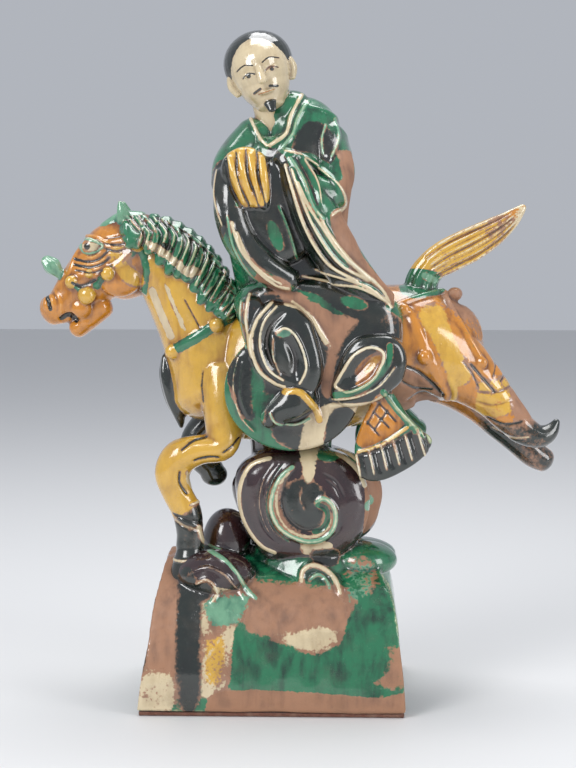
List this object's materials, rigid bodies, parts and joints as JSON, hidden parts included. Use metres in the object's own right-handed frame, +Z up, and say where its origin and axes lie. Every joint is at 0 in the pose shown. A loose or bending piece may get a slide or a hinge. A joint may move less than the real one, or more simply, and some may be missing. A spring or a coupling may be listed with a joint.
{
  "type": "ceramic roof ridge figure",
  "caption": "Sancai-glazed ridge tile figure: a robed rider on a leaping horse, carried by a cloud scroll on a hollow half-round ridge tile.",
  "frame": {"origin": "middle of the part's box, on the surface it stands on", "axes": "+Z up; the horse leaps towards -X along the ridge; the side meant to be seen faces -Y"},
  "size_m": [0.3312, 0.14, 0.421],
  "materials": {
    "sancai_glaze": "lead-glazed earthenware in amber, green, cream and dark aubergine, crackled, with bare clay where it has run thin",
    "felt": "red-brown felt strip"
  },
  "bodies": {
    "root": {"ridge_figure": "sancai_glaze", "front_foot_pad": "felt", "rear_foot_pad": "felt"}
  },
  "joints": []
}
